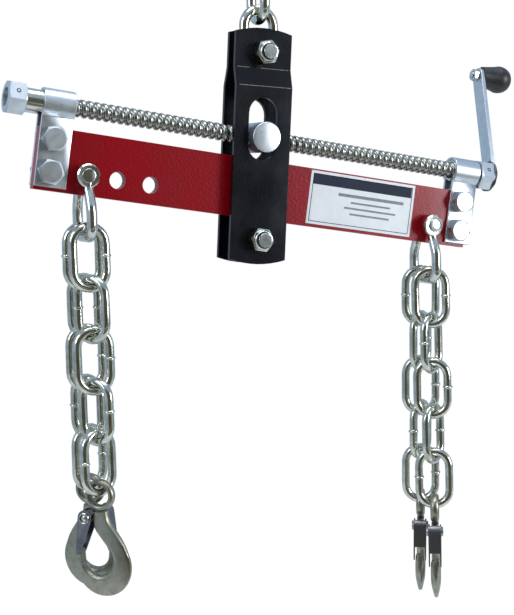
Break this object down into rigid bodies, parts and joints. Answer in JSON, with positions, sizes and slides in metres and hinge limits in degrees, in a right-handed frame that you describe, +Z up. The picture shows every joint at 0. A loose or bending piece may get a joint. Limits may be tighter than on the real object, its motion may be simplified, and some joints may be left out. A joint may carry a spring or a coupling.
{
  "type": "engine load leveller",
  "caption": "Tilting lifting beam for engines: lead screw and crank shift the hanger along a flat bar; shackled chains end in latched hooks.",
  "frame": {"origin": "inside the top link, where the hoist's hook bears", "axes": "+Z up, +X along the beam towards the crank, -Y towards the front"},
  "size_m": [0.6509, 0.1148, 0.7435],
  "materials": {
    "red_paint": "gloss enamel with orange peel",
    "black_paint": "gloss black",
    "chain_zinc": "bright zinc plate",
    "hook_zinc": "zinc plate on forged steel",
    "sheet_zinc": "satin zinc plate",
    "bright_zinc": "zinc plate",
    "black_plastic": "satin"
  },
  "bodies": {
    "hoist_link": {"top_link_b": "chain_zinc"},
    "lower_link": {"top_link_a": "chain_zinc"},
    "hanger": {"hanger_front_plate": "black_paint", "hanger_back_plate": "black_paint", "top_bolt": "bright_zinc", "top_nut": "bright_zinc", "bottom_bolt": "bright_zinc", "bottom_nut": "bright_zinc"},
    "roller": {"roller": "bright_zinc"},
    "trunnion": {"trunnion_nut": "bright_zinc"},
    "beam": {"beam": "red_paint", "strap_left": "sheet_zinc", "strap_right": "sheet_zinc", "bush_left": "bright_zinc", "bush_right": "bright_zinc", "strap_bolt_left_lower": "bright_zinc", "strap_bolt_left_upper": "bright_zinc", "strap_bolt_right_lower": "bright_zinc", "strap_bolt_right_upper": "bright_zinc"},
    "crank": {"lead_screw": "bright_zinc", "end_nut": "bright_zinc", "end_nut_pin": "bright_zinc", "crank_hub": "bright_zinc", "hub_pin": "bright_zinc", "crank_arm": "bright_zinc", "knob_bolt": "bright_zinc", "knob_nut": "bright_zinc"},
    "knob": {"knob": "black_plastic"},
    "shackle_left": {"shackle_left": "bright_zinc", "shackle_pin_left": "bright_zinc"},
    "shackle_right": {"shackle_right": "bright_zinc", "shackle_pin_right": "bright_zinc"},
    "link_left_front_1": {"link_left_front_1": "chain_zinc"},
    "link_left_front_2": {"link_left_front_2": "chain_zinc"},
    "link_left_front_3": {"link_left_front_3": "chain_zinc"},
    "link_left_front_4": {"link_left_front_4": "chain_zinc"},
    "link_left_front_5": {"link_left_front_5": "chain_zinc"},
    "hook_left_front": {"hook_left_front": "hook_zinc"},
    "latch_left_front": {"latch_left_front": "sheet_zinc"},
    "link_left_rear_1": {"link_left_rear_1": "chain_zinc"},
    "link_left_rear_2": {"link_left_rear_2": "chain_zinc"},
    "link_left_rear_3": {"link_left_rear_3": "chain_zinc"},
    "link_left_rear_4": {"link_left_rear_4": "chain_zinc"},
    "link_left_rear_5": {"link_left_rear_5": "chain_zinc"},
    "hook_left_rear": {"hook_left_rear": "hook_zinc"},
    "latch_left_rear": {"latch_left_rear": "sheet_zinc"},
    "link_right_front_1": {"link_right_front_1": "chain_zinc"},
    "link_right_front_2": {"link_right_front_2": "chain_zinc"},
    "link_right_front_3": {"link_right_front_3": "chain_zinc"},
    "link_right_front_4": {"link_right_front_4": "chain_zinc"},
    "link_right_front_5": {"link_right_front_5": "chain_zinc"},
    "hook_right_front": {"hook_right_front": "hook_zinc"},
    "latch_right_front": {"latch_right_front": "sheet_zinc"},
    "link_right_rear_1": {"link_right_rear_1": "chain_zinc"},
    "link_right_rear_2": {"link_right_rear_2": "chain_zinc"},
    "link_right_rear_3": {"link_right_rear_3": "chain_zinc"},
    "link_right_rear_4": {"link_right_rear_4": "chain_zinc"},
    "link_right_rear_5": {"link_right_rear_5": "chain_zinc"},
    "hook_right_rear": {"hook_right_rear": "hook_zinc"},
    "latch_right_rear": {"latch_right_rear": "sheet_zinc"}
  },
  "joints": [
    {"name": "lower_link_swing", "type": "hinge", "parent": "hoist_link", "child": "lower_link", "pos_m": [0, 0, -0.0555], "axis": [0, 1, 0], "range_deg": [-25, 25]},
    {"name": "hanger_swing", "type": "hinge", "parent": "lower_link", "child": "hanger", "pos_m": [0, 0, -0.0914], "axis": [0, 1, 0], "range_deg": [-25, 25]},
    {"name": "roller_spin", "type": "hinge", "parent": "hanger", "child": "roller", "pos_m": [-0.01483, 0, -0.29336], "axis": [0, 1, 0], "continuous": true},
    {"name": "beam_tilt", "type": "hinge", "parent": "hanger", "child": "trunnion", "pos_m": [-0.0067, 0, -0.18265], "axis": [0, 1, 0], "range_deg": [-18, 6]},
    {"name": "beam_travel", "type": "slide", "parent": "trunnion", "child": "beam", "axis": [0.9869, 0, -0.1616], "range_m": [-0.151, 0.129]},
    {"name": "crank_turn", "type": "hinge", "parent": "beam", "child": "crank", "pos_m": [0.28028, 0, -0.22965], "axis": [0.9869, 0, -0.1616], "range_deg": [-6750, 5760]},
    {"name": "knob_spin", "type": "hinge", "parent": "crank", "child": "knob", "pos_m": [0.32392, 0.05166, -0.11041], "axis": [0.9869, 0, -0.1616], "continuous": true},
    {"name": "shackle_left_swing", "type": "hinge", "parent": "beam", "child": "shackle_left", "pos_m": [-0.20519, 0, -0.21906], "axis": [0, 1, 0], "range_deg": [-30, 30]},
    {"name": "link_left_front_1_swing", "type": "hinge", "parent": "shackle_left", "child": "link_left_front_1", "pos_m": [-0.20519, -0.0106, -0.28256], "axis": [-1, 0, 0], "range_deg": [0, 12]},
    {"name": "link_left_front_2_swing", "type": "hinge", "parent": "link_left_front_1", "child": "link_left_front_2", "pos_m": [-0.20519, -0.01162, -0.3357], "axis": [-1, 0, 0], "range_deg": [0, 12]},
    {"name": "link_left_front_3_swing", "type": "hinge", "parent": "link_left_front_2", "child": "link_left_front_3", "pos_m": [-0.20519, -0.01266, -0.38969], "axis": [-0.5736, 0.819, -0.0157], "range_deg": [0, 12]},
    {"name": "link_left_front_4_swing", "type": "hinge", "parent": "link_left_front_3", "child": "link_left_front_4", "pos_m": [-0.20519, -0.01369, -0.44368], "axis": [-1, 0, 0], "range_deg": [0, 12]},
    {"name": "link_left_front_5_swing", "type": "hinge", "parent": "link_left_front_4", "child": "link_left_front_5", "pos_m": [-0.20519, -0.01473, -0.49767], "axis": [-0.5446, 0.8385, -0.0161], "range_deg": [0, 12]},
    {"name": "hook_left_front_swing", "type": "hinge", "parent": "link_left_front_5", "child": "hook_left_front", "pos_m": [-0.20519, -0.01577, -0.55166], "axis": [-0.9397, -0.342, 0.0066], "range_deg": [0, 12]},
    {"name": "latch_left_front_press", "type": "hinge", "parent": "hook_left_front", "child": "latch_left_front", "pos_m": [-0.21576, -0.00495, -0.57872], "axis": [-0.7314, -0.6819, 0.0131], "range_deg": [0, 30], "stiffness_Nm_per_rad": 0.02, "springref_deg": -22.92},
    {"name": "link_left_rear_1_swing", "type": "hinge", "parent": "shackle_left", "child": "link_left_rear_1", "pos_m": [-0.20519, 0.0106, -0.28256], "axis": [1, 0, 0], "range_deg": [0, 12]},
    {"name": "link_left_rear_2_swing", "type": "hinge", "parent": "link_left_rear_1", "child": "link_left_rear_2", "pos_m": [-0.20519, 0.01162, -0.3357], "axis": [1, 0, 0], "range_deg": [0, 12]},
    {"name": "link_left_rear_3_swing", "type": "hinge", "parent": "link_left_rear_2", "child": "link_left_rear_3", "pos_m": [-0.20519, 0.01266, -0.38969], "axis": [0.5736, -0.819, -0.0157], "range_deg": [0, 12]},
    {"name": "link_left_rear_4_swing", "type": "hinge", "parent": "link_left_rear_3", "child": "link_left_rear_4", "pos_m": [-0.20519, 0.01369, -0.44368], "axis": [1, 0, 0], "range_deg": [0, 12]},
    {"name": "link_left_rear_5_swing", "type": "hinge", "parent": "link_left_rear_4", "child": "link_left_rear_5", "pos_m": [-0.20519, 0.01473, -0.49767], "axis": [0.5446, -0.8385, -0.0161], "range_deg": [0, 12]},
    {"name": "hook_left_rear_swing", "type": "hinge", "parent": "link_left_rear_5", "child": "hook_left_rear", "pos_m": [-0.20519, 0.01577, -0.55166], "axis": [0.9397, 0.342, 0.0066], "range_deg": [0, 12]},
    {"name": "latch_left_rear_press", "type": "hinge", "parent": "hook_left_rear", "child": "latch_left_rear", "pos_m": [-0.19462, 0.00495, -0.57872], "axis": [0.7314, 0.6819, 0.0131], "range_deg": [0, 30], "stiffness_Nm_per_rad": 0.02, "springref_deg": -22.92},
    {"name": "shackle_right_swing", "type": "hinge", "parent": "beam", "child": "shackle_right", "pos_m": [0.20929, 0, -0.28693], "axis": [0, 1, 0], "range_deg": [-30, 30]},
    {"name": "link_right_front_1_swing", "type": "hinge", "parent": "shackle_right", "child": "link_right_front_1", "pos_m": [0.20929, -0.0106, -0.35043], "axis": [-1, 0, 0], "range_deg": [0, 12]},
    {"name": "link_right_front_2_swing", "type": "hinge", "parent": "link_right_front_1", "child": "link_right_front_2", "pos_m": [0.20929, -0.01162, -0.40357], "axis": [-0.8387, 0.5445, -0.0105], "range_deg": [0, 12]},
    {"name": "link_right_front_3_swing", "type": "hinge", "parent": "link_right_front_2", "child": "link_right_front_3", "pos_m": [0.20929, -0.01266, -0.45756], "axis": [-0.866, -0.4999, 0.0096], "range_deg": [0, 12]},
    {"name": "link_right_front_4_swing", "type": "hinge", "parent": "link_right_front_3", "child": "link_right_front_4", "pos_m": [0.20929, -0.01369, -0.51155], "axis": [-0.8387, 0.5445, -0.0105], "range_deg": [0, 12]},
    {"name": "link_right_front_5_swing", "type": "hinge", "parent": "link_right_front_4", "child": "link_right_front_5", "pos_m": [0.20929, -0.01473, -0.56554], "axis": [-0.866, -0.4999, 0.0096], "range_deg": [0, 12]},
    {"name": "hook_right_front_swing", "type": "hinge", "parent": "link_right_front_5", "child": "hook_right_front", "pos_m": [0.20929, -0.01577, -0.61953], "axis": [-0.8387, 0.5445, -0.0105], "range_deg": [0, 12]},
    {"name": "latch_right_front_press", "type": "hinge", "parent": "hook_right_front", "child": "latch_right_front", "pos_m": [0.20062, -0.02916, -0.64773], "axis": [0.829, -0.5591, 0.0107], "range_deg": [0, 30], "stiffness_Nm_per_rad": 0.02, "springref_deg": -22.92},
    {"name": "link_right_rear_1_swing", "type": "hinge", "parent": "shackle_right", "child": "link_right_rear_1", "pos_m": [0.20929, 0.0106, -0.35043], "axis": [1, 0, 0], "range_deg": [0, 12]},
    {"name": "link_right_rear_2_swing", "type": "hinge", "parent": "link_right_rear_1", "child": "link_right_rear_2", "pos_m": [0.20929, 0.01162, -0.40357], "axis": [0.8387, -0.5445, -0.0105], "range_deg": [0, 12]},
    {"name": "link_right_rear_3_swing", "type": "hinge", "parent": "link_right_rear_2", "child": "link_right_rear_3", "pos_m": [0.20929, 0.01266, -0.45756], "axis": [0.866, 0.4999, 0.0096], "range_deg": [0, 12]},
    {"name": "link_right_rear_4_swing", "type": "hinge", "parent": "link_right_rear_3", "child": "link_right_rear_4", "pos_m": [0.20929, 0.01369, -0.51155], "axis": [0.8387, -0.5445, -0.0105], "range_deg": [0, 12]},
    {"name": "link_right_rear_5_swing", "type": "hinge", "parent": "link_right_rear_4", "child": "link_right_rear_5", "pos_m": [0.20929, 0.01473, -0.56554], "axis": [0.866, 0.4999, 0.0096], "range_deg": [0, 12]},
    {"name": "hook_right_rear_swing", "type": "hinge", "parent": "link_right_rear_5", "child": "hook_right_rear", "pos_m": [0.20929, 0.01577, -0.61953], "axis": [0.8387, -0.5445, -0.0105], "range_deg": [0, 12]},
    {"name": "latch_right_rear_press", "type": "hinge", "parent": "hook_right_rear", "child": "latch_right_rear", "pos_m": [0.20062, 0.00347, -0.64822], "axis": [0.829, -0.5591, -0.0107], "range_deg": [0, 30], "stiffness_Nm_per_rad": 0.02, "springref_deg": -22.92}
  ],
  "couplings": [
    {"joint": "beam_travel", "follows": "crank_turn", "m_per_rad": 0.0012732},
    {"joint": "roller_spin", "follows": "crank_turn", "ratio": 0.067013}
  ]
}
